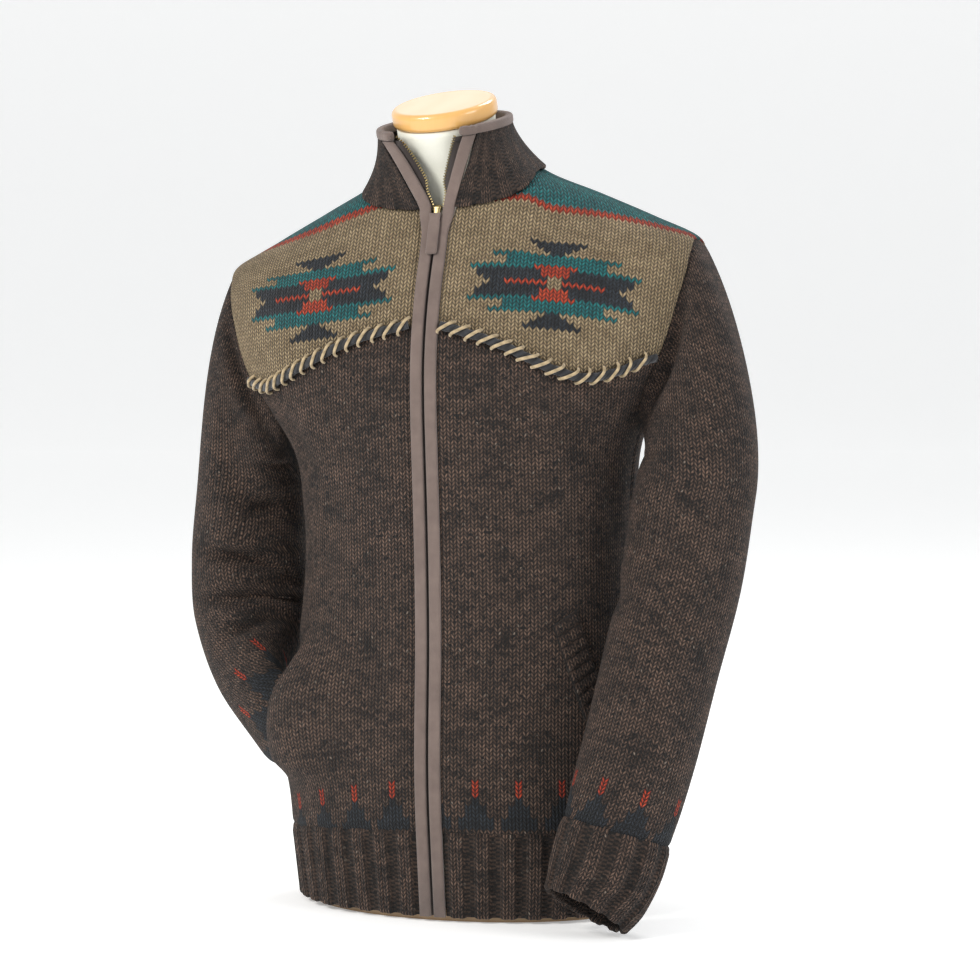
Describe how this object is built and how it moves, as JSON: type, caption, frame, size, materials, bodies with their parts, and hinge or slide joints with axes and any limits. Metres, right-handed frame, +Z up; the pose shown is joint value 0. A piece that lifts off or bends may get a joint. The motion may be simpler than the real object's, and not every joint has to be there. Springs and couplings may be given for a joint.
{
  "type": "patterned-yoke zip sweater on a dress form",
  "caption": "Heavy ribbed wool sweater with a full front zip, stand collar and knitted diamond yoke, worn by a limbless dress form, one cuff tucked into a pocket.",
  "frame": {"origin": "the middle of the base's underside, on the floor", "axes": "+Z up, the front of the sweater faces -Y, the wearer's left is +X"},
  "size_m": [0.574, 0.2867, 0.7699],
  "materials": {
    "brown_wool": "heathered dark brown wool in thick stocking stitch and ribbing",
    "tan_wool": "tan wool in thick stocking stitch with knitted-in teal, red and charcoal figures",
    "navy_wool": "charcoal navy wool cord",
    "taupe_tape": "matt taupe woven tape over padding",
    "dark_tape": "dark brown woven zip tape",
    "brass": "aged satin brass",
    "cream_form": "smooth cream covering",
    "pale_wood": "varnished pale wood"
  },
  "bodies": {
    "sweater": {"back": "brown_wool", "collar": "brown_wool", "collar_binding": "taupe_tape", "cuff_left": "brown_wool", "cuff_right": "brown_wool", "form_base": "pale_wood", "form_neck_cap": "pale_wood", "form_torso": "cream_form", "front_left": "brown_wool", "front_right": "brown_wool", "hem_back": "brown_wool", "hem_left": "brown_wool", "hem_right": "brown_wool", "pocket_welt_left": "brown_wool", "sleeve_left": "brown_wool", "sleeve_right": "brown_wool", "yoke_back": "tan_wool", "yoke_cord_back": "navy_wool", "yoke_cord_left": "navy_wool", "yoke_cord_right": "navy_wool", "yoke_front_left": "tan_wool", "yoke_front_right": "tan_wool", "zip_binding_left": "taupe_tape", "zip_binding_right": "taupe_tape", "zip_slider": "brass", "zip_tape_left": "dark_tape", "zip_tape_right": "dark_tape"},
    "pull": {"zip_pull": "taupe_tape"}
  },
  "joints": [
    {"name": "pull_tab", "type": "hinge", "parent": "sweater", "child": "pull", "pos_m": [-0.00012, -0.10089, 0.65608], "axis": [-0.9972, 0, -0.0748], "range_deg": [0, 150]}
  ]
}
